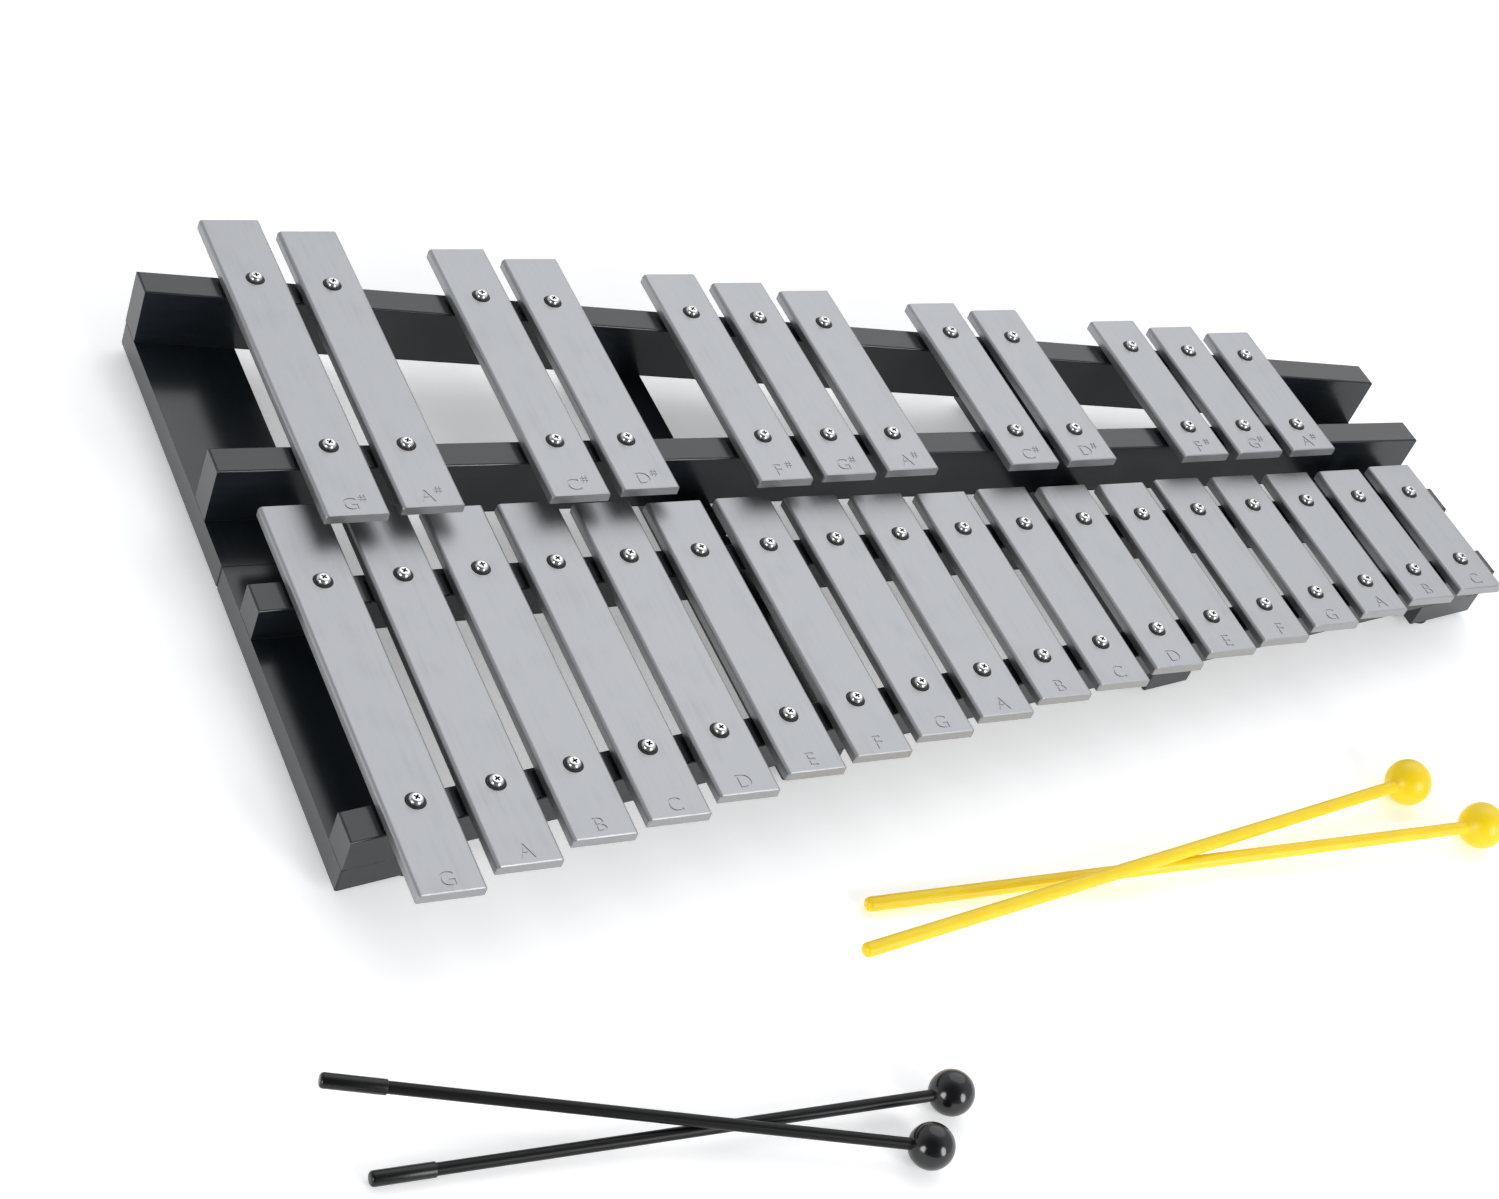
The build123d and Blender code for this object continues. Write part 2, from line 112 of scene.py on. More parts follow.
def take(piece, test):
    """Opens a piece in edit mode with the vertices selected whose place passes the test."""
    only(piece)
    mesh = piece.data
    mesh.polygons.foreach_set("select", [False] * len(mesh.polygons))
    mesh.edges.foreach_set("select", [False] * len(mesh.edges))
    mesh.vertices.foreach_set("select", [test(v.co) for v in mesh.vertices])
    bpy.ops.object.mode_set(mode="EDIT")
    bpy.ops.mesh.select_mode(type="VERT")


def done(piece):
    """Back to object mode, with the object's place and turn put into its mesh."""
    only(piece)
    bpy.ops.object.transform_apply(location=True, rotation=True, scale=True)
    return piece


def start_piece(name):
    """Names the primitive that was just added."""
    piece = bpy.context.object
    piece.name = name
    piece.data.name = name
    return piece


def copy_of(piece, name, offset):
    """A copy with its own mesh, moved by an offset."""
    mesh = piece.data.copy()
    mesh.name = name
    mesh.transform(Matrix.Translation(offset))
    made = bpy.data.objects.new(name, mesh)
    bpy.context.scene.collection.objects.link(made)
    return made


def join(pieces, name):
    """Several objects as one."""
    only(pieces[0])
    for piece in pieces:
        piece.select_set(True)
    bpy.ops.object.join()
    return start_piece(name)


def cut_out(piece, cutter):
    """Takes the cutter's volume away from a piece and removes the cutter."""
    only(piece)
    modifier = piece.modifiers.new("cut", "BOOLEAN")
    modifier.object = cutter
    modifier.operation = "DIFFERENCE"
    modifier.solver = "EXACT"
    bpy.ops.object.modifier_apply(modifier=modifier.name)
    bpy.data.objects.remove(cutter)


def even_shading(piece):
    """Smooth across small angles, with the large flats kept flat."""
    only(piece)
    bpy.ops.object.shade_smooth_by_angle(angle=SMOOTH_BELOW)
    modifier = piece.modifiers.new("flats", "WEIGHTED_NORMAL")
    modifier.keep_sharp = True
    bpy.ops.object.modifier_apply(modifier=modifier.name)


def finish_piece(piece, body, material, nodes):
    """Material, body, replaced CAD nodes and material slot of a finished piece."""
    if not piece.data.materials:
        piece.data.materials.append(material)
    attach(piece, body)
    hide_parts(*nodes)


# Blasted aluminium: a soft grey metal. The bead marks are about 0.1 mm across and drawn three times
# as coarse so that they show; the faint long streaks come from drawing the flat stock.
blasted_aluminium = bpy.data.materials.new("blasted_aluminium")
blasted_aluminium.use_nodes = True
place = add_node(blasted_aluminium, "ShaderNodeTexCoord").outputs["Object"]
beads = add_node(
    blasted_aluminium, "ShaderNodeTexNoise", {"Vector": place, "Scale": 1 / (0.3 * MM), "Detail": 2.0},
)
clouds = add_node(
    blasted_aluminium, "ShaderNodeTexNoise", {"Vector": place, "Scale": 1 / (16 * MM), "Detail": 3.0},
)
drawn = add_node(
    blasted_aluminium, "ShaderNodeMapping",
    {"Vector": place, "Scale": (1 / (1.2 * MM), 1 / (60 * MM), 1 / (1.2 * MM))},
)
streaks = add_node(
    blasted_aluminium, "ShaderNodeTexNoise", {"Vector": drawn.outputs["Vector"], "Scale": 1.0, "Detail": 3.0},
)
worn = add_node(
    blasted_aluminium, "ShaderNodeMath",
    {0: clouds.outputs["Fac"], 1: streaks.outputs["Fac"]}, operation="ADD",
)
shade = add_node(blasted_aluminium, "ShaderNodeValToRGB", {"Fac": worn.outputs["Value"]})
shade.color_ramp.elements[0].position = 0.6
shade.color_ramp.elements[0].color = linear("#9d9ea0")
shade.color_ramp.elements[1].position = 1.0
shade.color_ramp.elements[1].color = linear("#a5a6a8")
matt = add_node(
    blasted_aluminium, "ShaderNodeMapRange",
    {"Value": worn.outputs["Value"], "From Min": 0.6, "From Max": 1.4, "To Min": 0.40, "To Max": 0.52},
)
marks = add_node(
    blasted_aluminium, "ShaderNodeBump",
    {"Height": beads.outputs["Fac"], "Strength": 0.16, "Distance": 0.05 * MM},
)
metal = blasted_aluminium.node_tree.nodes["Principled BSDF"]
metal.inputs["Metallic"].default_value = 1.0
blasted_aluminium.node_tree.links.new(shade.outputs["Color"], metal.inputs["Base Color"])
blasted_aluminium.node_tree.links.new(matt.outputs["Result"], metal.inputs["Roughness"])
blasted_aluminium.node_tree.links.new(marks.outputs["Normal"], metal.inputs["Normal"])

first_low, first_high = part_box("bar_g5")
bar_width = first_high.x - first_low.x
bar_thickness = first_high.z - first_low.z


def on_end_rim(p):
    """True for a point on the outline of the blank's section."""
    inward = bar_width / 2 - abs(p.x)
    from_top = -p.z
    if inward < BAR_EDGE_ROUND and from_top < BAR_EDGE_ROUND:
        out = math.hypot(BAR_EDGE_ROUND - inward, BAR_EDGE_ROUND - from_top)
        return out > BAR_EDGE_ROUND - BAR_END_ARRIS / 2
    return min(inward, from_top, p.z + bar_thickness) < BAR_END_ARRIS / 2


bpy.ops.object.select_all(action="DESELECT")
bpy.ops.mesh.primitive_cube_add(
    size=1, location=(0, 0, -bar_thickness / 2), scale=(bar_width, BLANK_LENGTH, bar_thickness),
)
blank = done(start_piece("bar_blank"))
for side, height, offset, segments in (
    (-1, 0, BAR_EDGE_ROUND, EDGE_SEGMENTS), (1, 0, BAR_EDGE_ROUND, EDGE_SEGMENTS),
    (-1, -bar_thickness, BAR_UNDER_ARRIS, UNDER_SEGMENTS),
    (1, -bar_thickness, BAR_UNDER_ARRIS, UNDER_SEGMENTS),
):
    take(blank, lambda p: p.x * side > bar_width / 2 - NEARLY and abs(p.z - height) < NEARLY)
    bpy.ops.mesh.bevel(offset=offset, segments=segments, affect="EDGES")
for side in (-1, 1):
    take(blank, lambda p: p.y * side > BLANK_LENGTH / 2 - NEARLY)
    bpy.ops.mesh.inset(thickness=BAR_END_ARRIS, depth=0)
    take(blank, lambda p: p.y * side > BLANK_LENGTH / 2 - NEARLY and on_end_rim(p))
    bpy.ops.transform.translate(value=(0, -side * BAR_END_ARRIS, 0))
only(blank)

bpy.ops.object.select_all(action="DESELECT")
drill_depth = bar_thickness + 2 * MM
bpy.ops.mesh.primitive_cylinder_add(
    vertices=HOLE_SEGMENTS, radius=HOLE_RADIUS, depth=drill_depth - HOLE_CHAMFER,
    location=(0, 0, -(drill_depth + HOLE_CHAMFER) / 2),
)
drill = done(start_piece("drill"))
take(drill, lambda p: p.z > -drill_depth / 2)
countersink = (HOLE_RADIUS + HOLE_CHAMFER) / HOLE_RADIUS
bpy.ops.mesh.extrude_region_move(TRANSFORM_OT_translate={"value": (0, 0, HOLE_CHAMFER)})
bpy.ops.transform.resize(value=(countersink, countersink, 1))
bpy.ops.mesh.extrude_region_move(TRANSFORM_OT_translate={"value": (0, 0, MM)})
only(drill)


def stamp(text, size, place):
    """Raised letters, as on the punch that marks a bar, standing half into the bar's face."""
    bpy.ops.object.select_all(action="DESELECT")
    bpy.ops.object.text_add(location=(0, 0, 0))
    letters = bpy.context.object
    letters.data.body = text
    letters.data.size = size
    letters.data.align_x = "CENTER"
    letters.data.align_y = "CENTER"
    letters.data.extrude = STAMP_DEPTH
    letters.data.resolution_u = 4
    bpy.ops.object.convert(target="MESH")
    letters = start_piece("stamp")
    middle = (Vector(letters.bound_box[0]) + Vector(letters.bound_box[6])) / 2
    letters.data.transform(Matrix.Translation(Vector(place) - Vector((middle.x, middle.y, 0))))
    take(letters, lambda p: True)
    bpy.ops.mesh.remove_doubles(threshold=0.002 * MM)
    bpy.ops.mesh.normals_make_consistent(inside=False)
    only(letters)
    return letters


def screw_places(node, low, high):
    """Middles of the two screws of the bar whose box is given, front one first."""
    inside = [v.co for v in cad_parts[node].data.vertices if low.x < v.co.x < high.x]
    middle_y = (low.y + high.y) / 2
    places = []
    for group in ([p for p in inside if p.y < middle_y], [p for p in inside if p.y > middle_y]):
        xs = [p.x for p in group]
        ys = [p.y for p in group]
        top = max(p.z for p in group)
        places.append(Vector(((min(xs) + max(xs)) / 2, (min(ys) + max(ys)) / 2, top)))
    return places


LETTER_SIZE = LETTER_HEIGHT / CAPITAL_SHARE
screws_of = {"naturals": [], "sharps": []}
for node in sorted(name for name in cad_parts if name.startswith("bar_")):
    sharp = "_sharp" in node
    half = "sharps" if sharp else "naturals"
    low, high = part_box(node)
    middle = Vector(((low.x + high.x) / 2, (low.y + high.y) / 2, high.z))
    longer = (high.y - low.y - BLANK_LENGTH) / 2
    bar = copy_of(blank, f"{node}_stamped", middle)
    take(bar, lambda p: p.y > middle.y)
    bpy.ops.transform.translate(value=(0, longer, 0))
    take(bar, lambda p: p.y < middle.y)
    bpy.ops.transform.translate(value=(0, -longer, 0))
    only(bar)
    spots = screw_places(f"{half}_bar_screws", low, high)
    screws_of[half] += spots
    cutters = [copy_of(drill, "drill_here", (spot.x, spot.y, high.z)) for spot in spots]
    letter_y = low.y + LETTER_FROM_FRONT
    letter_x = middle.x - (SHARP_LETTER_LEFT if sharp else LETTER_LEFT)
    cutters.append(stamp(node[4].upper(), LETTER_SIZE, (letter_x, letter_y, high.z)))
    if sharp:
        sign_place = (letter_x + SIGN_RIGHT, letter_y + SIGN_UP, high.z)
        cutters.append(stamp("#", LETTER_SIZE * SHARP_SIGN_SIZE, sign_place))
    cut_out(bar, join(cutters, "cutters"))
    even_shading(bar)
    finish_piece(bar, f"{half}_half", blasted_aluminium, [node])
for spent in (blank, drill):
    bpy.data.objects.remove(spent)


# ---- grommets ----
# Sixty black rubber grommets, pushed through the bars from below. Their flange keeps the bar off the
# rail and their lip keeps the screw head off the bar, so the bar rings.
GROMMET_SEGMENTS = 32
FLANGE_RADIUS = 5.0 * MM
SLEEVE_RADIUS = 3.55 * MM
SLEEVE_BORE = 1.55 * MM
FLANGE_HEIGHT = 1.2 * MM
LIP_HEIGHT = 0.2 * MM
LIP_ROUND = 0.35 * MM
SCREW_HEAD_HEIGHT = 1.9 * MM
TURNED_SMOOTH_BELOW = math.radians(50)


def rounded(centre, radius, start, end, steps):
    """Points on a round corner of a profile, from one angle to another in degrees."""
    turns = [math.radians(start + (end - start) * i / steps) for i in range(steps + 1)]
    return [(centre[0] + radius * math.cos(t), centre[1] + radius * math.sin(t)) for t in turns]


def turned(name, profile, steps):
    """A piece turned about Z from a profile of radius and height, drawn point by point and spun."""
    bpy.ops.object.select_all(action="DESELECT")
    bpy.ops.mesh.primitive_plane_add(size=MM)
    piece = start_piece(name)
    take(piece, lambda p: True)
    bpy.ops.mesh.merge(type="CENTER")
    bpy.ops.transform.translate(value=(profile[0][0], 0, profile[0][1]))
    for last, point in zip(profile, profile[1:]):
        step = (point[0] - last[0], 0, point[1] - last[1])
        bpy.ops.mesh.extrude_vertices_move(TRANSFORM_OT_translate={"value": step})
    bpy.ops.mesh.select_all(action="SELECT")
    bpy.ops.mesh.spin(steps=steps, angle=math.tau, center=(0, 0, 0), axis=(0, 0, 1))
    bpy.ops.mesh.select_all(action="SELECT")
    bpy.ops.mesh.remove_doubles(threshold=0.004 * MM)
    bpy.ops.mesh.normals_make_consistent(inside=False)
    only(piece)
    bpy.ops.object.shade_smooth_by_angle(angle=TURNED_SMOOTH_BELOW)
    return piece


# Soft rubber: deep black, matt, with the slightly cloudy bloom that moulded rubber gets.
black_rubber = bpy.data.materials.new("moulded_black_rubber")
black_rubber.use_nodes = True
place = add_node(black_rubber, "ShaderNodeTexCoord").outputs["Object"]
bloom = add_node(
    black_rubber, "ShaderNodeTexNoise", {"Vector": place, "Scale": 1 / (1.5 * MM), "Detail": 3.0},
)
tone = add_node(black_rubber, "ShaderNodeValToRGB", {"Fac": bloom.outputs["Fac"]})
tone.color_ramp.elements[0].color = linear("#0c0c0d")
tone.color_ramp.elements[1].color = linear("#1d1e1f")
skin = add_node(
    black_rubber, "ShaderNodeBump",
    {"Height": bloom.outputs["Fac"], "Strength": 0.2, "Distance": 0.05 * MM},
)
rubber = black_rubber.node_tree.nodes["Principled BSDF"]
rubber.inputs["Roughness"].default_value = 0.62
rubber.inputs["IOR"].default_value = 1.52
black_rubber.node_tree.links.new(tone.outputs["Color"], rubber.inputs["Base Color"])
black_rubber.node_tree.links.new(skin.outputs["Normal"], rubber.inputs["Normal"])

sleeve_top = FLANGE_HEIGHT + bar_thickness + LIP_HEIGHT
grommet_profile = [(SLEEVE_BORE, 0)]
grommet_profile += rounded((FLANGE_RADIUS - LIP_ROUND, LIP_ROUND), LIP_ROUND, -90, 0, 3)
grommet_profile += rounded((FLANGE_RADIUS - LIP_ROUND, FLANGE_HEIGHT - LIP_ROUND), LIP_ROUND, 0, 90, 3)
grommet_profile += [(SLEEVE_RADIUS, FLANGE_HEIGHT)]
grommet_profile += rounded((SLEEVE_RADIUS - LIP_ROUND, sleeve_top - LIP_ROUND), LIP_ROUND, 0, 90, 4)
grommet_profile += [(SLEEVE_BORE, sleeve_top), (SLEEVE_BORE, 0)]
grommet = turned("grommet", grommet_profile, GROMMET_SEGMENTS)
for half, spots in screws_of.items():
    down = Vector((0, 0, SCREW_HEAD_HEIGHT + sleeve_top))
    copies = [copy_of(grommet, "grommet_here", spot - down) for spot in spots]
    group = join(copies, f"{half}_rubber_grommets")
    finish_piece(group, f"{half}_half", black_rubber, [f"{half}_grommets"])
bpy.data.objects.remove(grommet)


# ---- bar screws ----
# Sixty pan-head screws of nickel-plated steel with a cross recess, turned down on the grommets.
# No two stop at the same turn, and their recesses are painted dark as shade.
SCREW_HEAD_RADIUS = 2.65 * MM
SCREW_SHANK_RADIUS = 1.5 * MM
SCREW_GRIP = 10 * MM
SCREW_TIP = 1.5 * MM
HEAD_ROUND = 1.25 * MM
RECESS_LENGTH = 3.5 * MM
RECESS_WIDTH = 0.85 * MM
RECESS_DEPTH = 1.15 * MM
RECESS_TAPER = (0.35, 0.6, 1)    # size of the recess floor, as shares of its mouth
RECESS_SHADE_FROM = 1.1                  # the part of the recess painted dark as shade, as shares of its depth
RECESS_SHADE_TO = 0.6
SCREW_SEGMENTS = 28
SCREW_SMOOTH_BELOW = math.radians(40)
SCREW_SEED = 7

# Bright nickel plate over a pressed head: nearly a mirror, with small dents and uneven gloss.
nickel_plate = bpy.data.materials.new("bright_nickel_plate")
nickel_plate.use_nodes = True
place = add_node(nickel_plate, "ShaderNodeTexCoord").outputs["Object"]
dents = add_node(
    nickel_plate, "ShaderNodeTexNoise", {"Vector": place, "Scale": 1 / (0.8 * MM), "Detail": 2.0},
)
gloss = add_node(
    nickel_plate, "ShaderNodeMapRange", {"Value": dents.outputs["Fac"], "To Min": 0.12, "To Max": 0.32},
)
pressed = add_node(
    nickel_plate, "ShaderNodeBump",
    {"Height": dents.outputs["Fac"], "Strength": 0.25, "Distance": 0.06 * MM},
)
plate = nickel_plate.node_tree.nodes["Principled BSDF"]
plate.inputs["Base Color"].default_value = linear("#d2d2d1")
plate.inputs["Metallic"].default_value = 1.0
nickel_plate.node_tree.links.new(gloss.outputs["Result"], plate.inputs["Roughness"])
nickel_plate.node_tree.links.new(pressed.outputs["Normal"], plate.inputs["Normal"])

# The walls and bottom of the recess: dark steel, painted shade where the cross recess lies in shadow.
recess_shade_steel = bpy.data.materials.new("recess_shade_steel")
recess_shade_steel.use_nodes = True
place = add_node(recess_shade_steel, "ShaderNodeTexCoord").outputs["Object"]
recess_shade_mottle = add_node(recess_shade_steel, "ShaderNodeTexNoise", {"Vector": place, "Scale": 1 / (0.5 * MM), "Detail": 2.0})
recess_shade_tone = add_node(recess_shade_steel, "ShaderNodeValToRGB", {"Fac": recess_shade_mottle.outputs["Fac"]})
recess_shade_tone.color_ramp.elements[0].color = linear("#2c2c2c")
recess_shade_tone.color_ramp.elements[1].color = linear("#4c4c4b")
steel = recess_shade_steel.node_tree.nodes["Principled BSDF"]
steel.inputs["Metallic"].default_value = 1.0
steel.inputs["Roughness"].default_value = 0.5
recess_shade_steel.node_tree.links.new(recess_shade_tone.outputs["Color"], steel.inputs["Base Color"])

screw_bottom = -(sleeve_top + SCREW_GRIP)
screw_profile = [(0, screw_bottom), (SCREW_SHANK_RADIUS, screw_bottom + SCREW_TIP)]
screw_profile += [(SCREW_SHANK_RADIUS, 0), (SCREW_HEAD_RADIUS, 0)]
screw_profile += rounded(
    (SCREW_HEAD_RADIUS - HEAD_ROUND, SCREW_HEAD_HEIGHT - HEAD_ROUND), HEAD_ROUND, 0, 80, 6,
)
screw_profile += [(0, SCREW_HEAD_HEIGHT)]
screw = turned("screw", screw_profile, SCREW_SEGMENTS)
for turn in (0, 90):
    bpy.ops.object.select_all(action="DESELECT")
    bpy.ops.mesh.primitive_cube_add(
        size=1, location=(0, 0, SCREW_HEAD_HEIGHT),
        scale=(RECESS_LENGTH, RECESS_WIDTH, 2 * RECESS_DEPTH),
    )
    slot_cutter = done(start_piece("recess_cutter"))
    take(slot_cutter, lambda p: p.z < SCREW_HEAD_HEIGHT)
    bpy.ops.transform.resize(value=RECESS_TAPER)
    only(slot_cutter)
    slot_cutter.rotation_euler.z = math.radians(turn)
    cut_out(screw, done(slot_cutter))
only(screw)
bpy.ops.object.shade_smooth_by_angle(angle=SCREW_SMOOTH_BELOW)
screw.data.materials.append(nickel_plate)
screw.data.materials.append(recess_shade_steel)
recess_shade_low = SCREW_HEAD_HEIGHT - RECESS_SHADE_FROM * RECESS_DEPTH
recess_shade_high = SCREW_HEAD_HEIGHT - RECESS_SHADE_TO * RECESS_DEPTH
# Faces on the walls and bottom of the recess take the painted-shade steel.
for face in screw.data.polygons:
    near_axis = math.hypot(face.center.x, face.center.y) < RECESS_LENGTH / 2 + 0.1 * MM
    sunk = recess_shade_low < face.center.z < recess_shade_high
    if near_axis and face.center.z > 0 and (sunk or abs(face.normal.z) < 0.5):
        face.material_index = 1

stops = random.Random(SCREW_SEED)
for half, spots in screws_of.items():
    copies = []
    for spot in spots:
        one = copy_of(screw, "screw_here", (0, 0, 0))
        one.data.transform(Matrix.Rotation(stops.uniform(0, math.tau), 4, "Z"))
        one.data.transform(Matrix.Translation(spot - Vector((0, 0, SCREW_HEAD_HEIGHT))))
        copies.append(one)
    group = join(copies, f"{half}_cross_screws")
    finish_piece(group, f"{half}_half", nickel_plate, [f"{half}_bar_screws"])
bpy.data.objects.remove(screw)


# ---- frame ----
# Rails and cross pieces of planed hardwood, screwed together from below and then sprayed with satin
# black lacquer. The spray leaves a fine orange peel, the grain shows through a little, and a hairline
# stays open where a rail stands on a plank.
JOINT_LINE = 0.18 * MM
JOINT_LIFT = 0.198 * MM          # keeps the line on the rails, clear of the planks' tops
joint_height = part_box("naturals_low_plank")[1].z + JOINT_LIFT


def lacquer(name, grain_scale):
    """Satin black lacquer over wood, with the grain running along one axis."""
    material = bpy.data.materials.new(name)
    material.use_nodes = True
    place = add_node(material, "ShaderNodeTexCoord").outputs["Object"]
    along = add_node(material, "ShaderNodeMapping", {"Vector": place, "Scale": grain_scale})
    grain = add_node(
        material, "ShaderNodeTexNoise", {"Vector": along.outputs["Vector"], "Scale": 1.0, "Detail": 4.0},
    )
    peel = add_node(
        material, "ShaderNodeTexNoise", {"Vector": place, "Scale": 1 / (1.4 * MM), "Detail": 1.0},
    )
    height = add_node(
        material, "ShaderNodeMath",
        {0: grain.outputs["Fac"], 1: 0.6, 2: peel.outputs["Fac"]}, operation="MULTIPLY_ADD",
    )
    film = add_node(
        material, "ShaderNodeBump",
        {"Height": height.outputs["Value"], "Strength": 0.05, "Distance": 0.10 * MM},
    )
    tone = add_node(material, "ShaderNodeValToRGB", {"Fac": grain.outputs["Fac"]})
    tone.color_ramp.elements[0].position = 0.3
    tone.color_ramp.elements[0].color = linear("#171c20")
    tone.color_ramp.elements[1].position = 0.8
    tone.color_ramp.elements[1].color = linear("#20262b")
    height_here = add_node(material, "ShaderNodeSeparateXYZ", {"Vector": place}).outputs["Z"]
    seam = add_node(
        material, "ShaderNodeMath", {0: height_here, 1: joint_height, 2: JOINT_LINE},
        operation="COMPARE",
    )
    filled = add_node(
        material, "ShaderNodeTexNoise", {"Vector": place, "Scale": 1 / (9 * MM), "Detail": 2.0},
    )
    open_here = add_node(
        material, "ShaderNodeMapRange",
        {
            "Value": filled.outputs["Fac"], "From Min": 0.40, "From Max": 0.55,
            "To Min": 0.25, "To Max": 1.0,
        },
    )
    gap = add_node(
        material, "ShaderNodeMath",
        {0: seam.outputs["Value"], 1: open_here.outputs["Result"]}, operation="MULTIPLY",
    )
    painted = add_node(
        material, "ShaderNodeMix",
        {"Factor": gap.outputs["Value"], "A": tone.outputs["Color"], "B": linear("#040404")},
        data_type="RGBA",
    )
    sheen = add_node(
        material, "ShaderNodeMapRange", {"Value": peel.outputs["Fac"], "To Min": 0.16, "To Max": 0.24},
    )
    shader = material.node_tree.nodes["Principled BSDF"]
    shader.inputs["IOR"].default_value = 1.52
    dull = add_node(
        material, "ShaderNodeMath",
        {0: sheen.outputs["Result"], 1: gap.outputs["Value"]}, operation="MAXIMUM",
    )
    material.node_tree.links.new(painted.outputs[2], shader.inputs["Base Color"])
    material.node_tree.links.new(dull.outputs["Value"], shader.inputs["Roughness"])
    material.node_tree.links.new(film.outputs["Normal"], shader.inputs["Normal"])
    return material


GRAIN_LONG = 1 / (60 * MM)
GRAIN_FINE = 1 / (1.8 * MM)
rail_lacquer = lacquer("satin_black_lacquer_on_rails", (GRAIN_LONG, GRAIN_FINE, GRAIN_FINE))
plank_lacquer = lacquer("satin_black_lacquer_on_planks", (GRAIN_FINE, GRAIN_LONG, GRAIN_FINE))
for name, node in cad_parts.items():
    if name.endswith("_rail"):
        node.data.materials.clear()
        node.data.materials.append(rail_lacquer)
    elif name.endswith(("_plank", "_battens")):
        node.data.materials.clear()
        node.data.materials.append(plank_lacquer)


# ---- feet ----
# Eight turned rubber buttons glued under the end planks. They keep the frame off the table and the
# two halves apart when it is folded.
for half in ("naturals", "sharps"):
    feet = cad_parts[f"{half}_feet"]
    feet.data.materials.clear()
    feet.data.materials.append(black_rubber)


# ---- hinges and wood screws ----
# Small butt hinges with pressed pins join the halves under the seam, and countersunk screws hold the
# rails and the leaves. All are zinc-plated steel.
# Zinc plate: a bluish grey metal, duller than nickel, with a fine crystalline mottle.
zinc_plate = bpy.data.materials.new("zinc_plate")
zinc_plate.use_nodes = True
place = add_node(zinc_plate, "ShaderNodeTexCoord").outputs["Object"]
crystals = add_node(zinc_plate, "ShaderNodeTexVoronoi", {"Vector": place, "Scale": 1 / MM})
mottle = add_node(zinc_plate, "ShaderNodeValToRGB", {"Fac": crystals.outputs["Distance"]})
mottle.color_ramp.elements[0].color = linear("#a9adb2")
mottle.color_ramp.elements[1].color = linear("#c3c6ca")
zinc = zinc_plate.node_tree.nodes["Principled BSDF"]
zinc.inputs["Metallic"].default_value = 1.0
zinc.inputs["Roughness"].default_value = 0.36
zinc_plate.node_tree.links.new(mottle.outputs["Color"], zinc.inputs["Base Color"])
for name in (
    "naturals_hinge_leaves", "sharps_hinge_leaves", "hinge_pins",
    "naturals_wood_screws", "sharps_wood_screws",
):
    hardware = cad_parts[name]
    hardware.data.materials.clear()
    hardware.data.materials.append(zinc_plate)


# ---- yellow mallets ----
# Two mallets moulded in one piece from yellow plastic: a slim tapered shaft that runs into a ball.
# A faint ridge shows where the two halves of the mould met.
BALL_SEGMENTS = 64
YELLOW_BALL = 9.65 * MM
YELLOW_HANDLE = 2.8 * MM
YELLOW_NECK = 2.6 * MM
YELLOW_LENGTH = 294.0 * MM
YELLOW_END_ROUND = 2.24 * MM
YELLOW_NECK_ROUND = 0.8 * MM
MOULD_RIDGE = 0.06 * MM
RIM_SHARE = 0.9                  # share of the neck's radius beyond which the ridge stands


def mallet_line(ball_node, ball_radius, handle_node, rising):
    """Handle end and ball middle of a mallet that lies with its ball on the table."""
    low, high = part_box(ball_node)
    ball_y = high.y - ball_radius if rising else low.y + ball_radius
    ball = Vector((high.x - ball_radius, ball_y, ball_radius))
    points = [v.co.copy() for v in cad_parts[handle_node].data.vertices]
    furthest = max((p - ball).length for p in points)
    rim = [p for p in points if (p - ball).length > furthest - 0.02 * MM]
    return sum(rim, Vector()) / len(rim), ball


def lay_down(piece, handle_end, ball):
    """Turns a piece that stands on its handle end so that it lies along its line."""
    piece.rotation_mode = "QUATERNION"
    piece.rotation_quaternion = (ball - handle_end).to_track_quat("Z", "Y")
    piece.location = handle_end
    return done(piece)


# Moulded polypropylene: bright yellow, satin, a little translucent, with a faint flow pattern.
yellow_plastic = bpy.data.materials.new("moulded_yellow_polypropylene")
yellow_plastic.use_nodes = True
place = add_node(yellow_plastic, "ShaderNodeTexCoord").outputs["Object"]
flow = add_node(
    yellow_plastic, "ShaderNodeTexNoise", {"Vector": place, "Scale": 1 / (14 * MM), "Detail": 2.0},
)
dye = add_node(yellow_plastic, "ShaderNodeValToRGB", {"Fac": flow.outputs["Fac"]})
dye.color_ramp.elements[0].position = 0.3
dye.color_ramp.elements[0].color = linear("#f5cf08")
dye.color_ramp.elements[1].position = 0.7
dye.color_ramp.elements[1].color = linear("#f9d90f")
texture = add_node(
    yellow_plastic, "ShaderNodeTexNoise", {"Vector": place, "Scale": 1 / (0.5 * MM), "Detail": 2.0},
)
sink = add_node(
    yellow_plastic, "ShaderNodeBump",
    {"Height": texture.outputs["Fac"], "Strength": 0.08, "Distance": 0.04 * MM},
)
plastic = yellow_plastic.node_tree.nodes["Principled BSDF"]
plastic.inputs["Roughness"].default_value = 0.36
plastic.inputs["IOR"].default_value = 1.49
plastic.inputs["Subsurface Weight"].default_value = 0.15
plastic.inputs["Subsurface Radius"].default_value = (1.0, 0.6, 0.1)
plastic.inputs["Subsurface Scale"].default_value = 1.5 * MM
yellow_plastic.node_tree.links.new(dye.outputs["Color"], plastic.inputs["Base Color"])
yellow_plastic.node_tree.links.new(sink.outputs["Normal"], plastic.inputs["Normal"])

